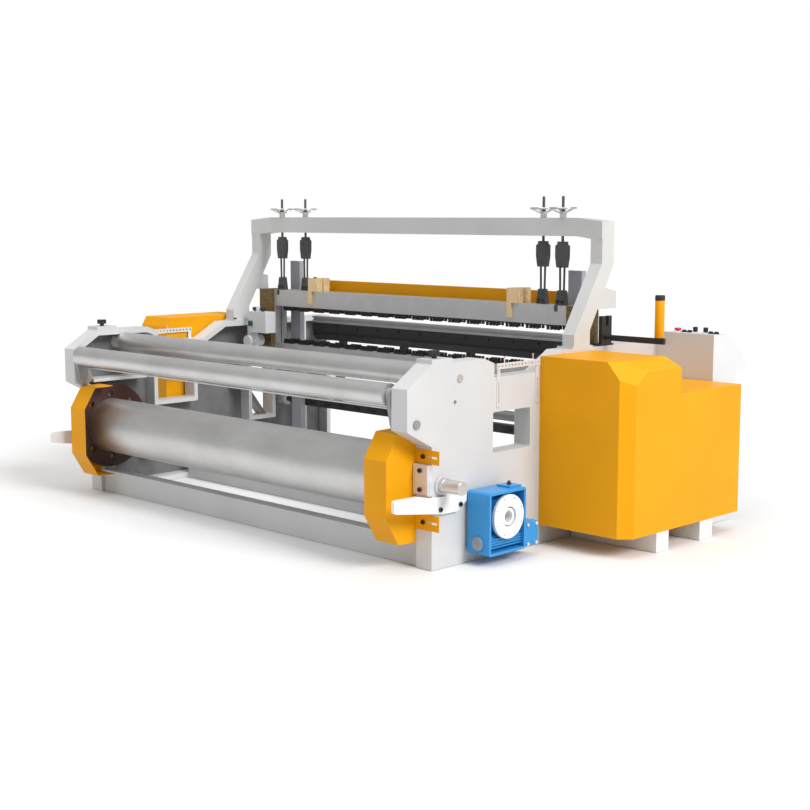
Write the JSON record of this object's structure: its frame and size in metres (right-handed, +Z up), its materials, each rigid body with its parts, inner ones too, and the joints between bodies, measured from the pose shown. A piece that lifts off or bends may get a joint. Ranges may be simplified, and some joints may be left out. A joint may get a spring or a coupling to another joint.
{
  "type": "power loom",
  "caption": "Wide power loom with warp beam and worm let-off, tension rollers, overhead gantry with two heald frames, sley, yellow drive covers and control cabinet.",
  "frame": {"origin": "middle of the bounding box, at floor level", "axes": "+X across the loom towards the drive side, +Y from the warp beam to the far side, +Z up"},
  "size_m": [3.974, 2.548, 1.887],
  "materials": {
    "frame_paint": "light grey enamel, slightly glossy",
    "white_paint": "white enamel",
    "yellow_paint": "golden yellow powder coat",
    "blue_paint": "bright blue enamel over casting",
    "flange_paint": "dark red-brown primer",
    "dark_paint": "dark grey enamel",
    "post_paint": "mid grey enamel",
    "cabinet_paint": "light grey textured powder coat",
    "column_brown": "brown zinc-primed plate with worn dimples",
    "lifter_grey": "dark grey casting",
    "roller_steel": "turned steel with fine circumferential marks",
    "gear_steel": "machined and lightly oiled",
    "flange_steel": "bright machined face",
    "cap_steel": "ground steel block",
    "arm_steel": "grey cast arm",
    "zinc_steel": "zinc plated",
    "black_steel": "black oxide",
    "wheel_chrome": "bright plated",
    "alloy": "satin extruded alloy",
    "black_plastic": "moulded black",
    "red_plastic": "moulded red",
    "wood": "bare pale hardwood"
  },
  "bodies": {
    "loom_frame": {"side_frame_right": "frame_paint", "side_frame_left": "frame_paint", "cross_beams": "frame_paint", "gantry_legs": "frame_paint", "gantry_beam": "frame_paint", "bearing_caps": "cap_steel", "beam_guard_right": "yellow_paint", "beam_guard_left": "yellow_paint", "black_bolts": "black_steel", "loading_arms": "white_paint", "gearbox_housing": "blue_paint", "gearbox_flange": "flange_steel", "hole_bars": "zinc_steel", "bar_pins": "zinc_steel", "guide_columns": "column_brown", "rear_posts": "post_paint", "guard_bar": "yellow_paint", "drive_cover_right": "yellow_paint", "drive_cover_left": "yellow_paint", "cover_feet": "white_paint", "main_motor": "dark_paint", "control_cabinet": "cabinet_paint", "fork_bracket": "black_steel", "selvedge_unit": "cabinet_paint"},
    "warp_beam": {"beam_barrel": "roller_steel", "beam_flanges": "flange_paint", "beam_gear": "gear_steel"},
    "letoff_shaft": {"gearbox_hollow_shaft": "flange_steel", "letoff_pinion": "gear_steel"},
    "back_rest": {"back_rest_roller": "roller_steel"},
    "tension_swing": {"tension_arms": "arm_steel", "warp_guide_bar": "roller_steel"},
    "tension_roll": {"tension_roller": "roller_steel"},
    "knob_right": {"star_knob_right": "black_plastic"},
    "knob_left": {"star_knob_left": "black_plastic"},
    "front_healds": {"heald_frame_front": "alloy", "rod_hooks_front": "black_plastic", "lifter_straps_front": "lifter_grey", "wood_guides_front": "wood"},
    "rear_healds": {"heald_frame_rear": "alloy", "rod_hooks_rear": "black_plastic", "lifter_straps_rear": "lifter_grey", "wood_guides_rear": "wood"},
    "sley": {"sley_beam": "dark_paint", "reed_holder": "alloy", "rocker_shaft": "dark_paint"},
    "takeup": {"takeup_roller": "roller_steel"},
    "crank": {"flywheel": "gear_steel"},
    "stop_button": {"emergency_button": "red_plastic"},
    "button_1": {"push_button_1": "black_plastic"},
    "button_2": {"push_button_2": "black_plastic"},
    "handle": {"start_handle": "black_steel"},
    "wheel_1": {"handwheel_1": "wheel_chrome"},
    "lift_1": {"lifter_1": "lifter_grey"},
    "wheel_2": {"handwheel_2": "wheel_chrome"},
    "lift_2": {"lifter_2": "lifter_grey"},
    "wheel_3": {"handwheel_3": "wheel_chrome"},
    "lift_3": {"lifter_3": "lifter_grey"},
    "wheel_4": {"handwheel_4": "wheel_chrome"},
    "lift_4": {"lifter_4": "lifter_grey"}
  },
  "joints": [
    {"name": "beam_turn", "type": "hinge", "parent": "loom_frame", "child": "warp_beam", "pos_m": [-0.137, -0.922, 0.433], "axis": [1, 0, 0], "continuous": true},
    {"name": "letoff_turn", "type": "hinge", "parent": "loom_frame", "child": "letoff_shaft", "pos_m": [1.403, -0.5932, 0.24652], "axis": [1, 0, 0], "continuous": true},
    {"name": "back_rest_turn", "type": "hinge", "parent": "loom_frame", "child": "back_rest", "pos_m": [-0.137, -0.787, 0.962], "axis": [1, 0, 0], "continuous": true},
    {"name": "tension_arm_swing", "type": "hinge", "parent": "loom_frame", "child": "tension_swing", "pos_m": [-0.137, -1.101, 0.757], "axis": [1, 0, 0], "range_deg": [-8, 12]},
    {"name": "tension_roller_turn", "type": "hinge", "parent": "tension_swing", "child": "tension_roll", "pos_m": [-0.137, -1.139, 0.896], "axis": [1, 0, 0], "continuous": true},
    {"name": "knob_right_turn", "type": "hinge", "parent": "loom_frame", "child": "knob_right", "pos_m": [1.348, -0.917, 1.069], "axis": [0, 0, 1], "range_deg": [-720, 0]},
    {"name": "knob_left_turn", "type": "hinge", "parent": "loom_frame", "child": "knob_left", "pos_m": [-1.622, -0.917, 1.069], "axis": [0, 0, 1], "range_deg": [-720, 0]},
    {"name": "front_shed", "type": "slide", "parent": "loom_frame", "child": "front_healds", "axis": [0, 0, 1], "range_m": [-0.04, 0.04]},
    {"name": "rear_shed", "type": "slide", "parent": "loom_frame", "child": "rear_healds", "axis": [0, 0, 1], "range_m": [-0.04, 0.04]},
    {"name": "sley_swing", "type": "hinge", "parent": "loom_frame", "child": "sley", "pos_m": [-0.137, 0.611, 0.461], "axis": [1, 0, 0], "range_deg": [-14, 0]},
    {"name": "takeup_turn", "type": "hinge", "parent": "loom_frame", "child": "takeup", "pos_m": [-0.137, 0.851, 0.76], "axis": [1, 0, 0], "continuous": true},
    {"name": "crank_turn", "type": "hinge", "parent": "loom_frame", "child": "crank", "pos_m": [-0.137, 0.191, 0.62], "axis": [1, 0, 0], "continuous": true},
    {"name": "stop_press", "type": "slide", "parent": "loom_frame", "child": "stop_button", "axis": [0, 0, 1], "range_m": [-0.006, 0], "stiffness_N_per_m": 800},
    {"name": "button_1_press", "type": "slide", "parent": "loom_frame", "child": "button_1", "axis": [0, 0, 1], "range_m": [-0.005, 0], "stiffness_N_per_m": 600},
    {"name": "button_2_press", "type": "slide", "parent": "loom_frame", "child": "button_2", "axis": [0, 0, 1], "range_m": [-0.005, 0], "stiffness_N_per_m": 600},
    {"name": "start_handle_swing", "type": "hinge", "parent": "loom_frame", "child": "handle", "pos_m": [1.403, 0.431, 1.095], "axis": [1, 0, 0], "range_deg": [-12, 12]},
    {"name": "wheel_1_turn", "type": "hinge", "parent": "loom_frame", "child": "wheel_1", "pos_m": [-1.375, 0.408, 1.764], "axis": [0, 0, 1], "range_deg": [-1080, 1080]},
    {"name": "lift_1_height", "type": "slide", "parent": "loom_frame", "child": "lift_1", "axis": [0, 0, 1], "range_m": [-0.015, 0.015]},
    {"name": "wheel_2_turn", "type": "hinge", "parent": "loom_frame", "child": "wheel_2", "pos_m": [-1.19, 0.46, 1.764], "axis": [0, 0, 1], "range_deg": [-1080, 1080]},
    {"name": "lift_2_height", "type": "slide", "parent": "loom_frame", "child": "lift_2", "axis": [0, 0, 1], "range_m": [-0.015, 0.015]},
    {"name": "wheel_3_turn", "type": "hinge", "parent": "loom_frame", "child": "wheel_3", "pos_m": [0.916, 0.46, 1.764], "axis": [0, 0, 1], "range_deg": [-1080, 1080]},
    {"name": "lift_3_height", "type": "slide", "parent": "loom_frame", "child": "lift_3", "axis": [0, 0, 1], "range_m": [-0.015, 0.015]},
    {"name": "wheel_4_turn", "type": "hinge", "parent": "loom_frame", "child": "wheel_4", "pos_m": [1.101, 0.408, 1.764], "axis": [0, 0, 1], "range_deg": [-1080, 1080]},
    {"name": "lift_4_height", "type": "slide", "parent": "loom_frame", "child": "lift_4", "axis": [0, 0, 1], "range_m": [-0.015, 0.015]}
  ],
  "couplings": [
    {"joint": "letoff_turn", "follows": "beam_turn", "ratio": -2.5},
    {"joint": "rear_shed", "follows": "front_shed", "ratio": -1},
    {"joint": "lift_1_height", "follows": "wheel_1_turn", "m_per_rad": 0.00079577},
    {"joint": "lift_2_height", "follows": "wheel_2_turn", "m_per_rad": 0.00079577},
    {"joint": "lift_3_height", "follows": "wheel_3_turn", "m_per_rad": 0.00079577},
    {"joint": "lift_4_height", "follows": "wheel_4_turn", "m_per_rad": 0.00079577}
  ]
}
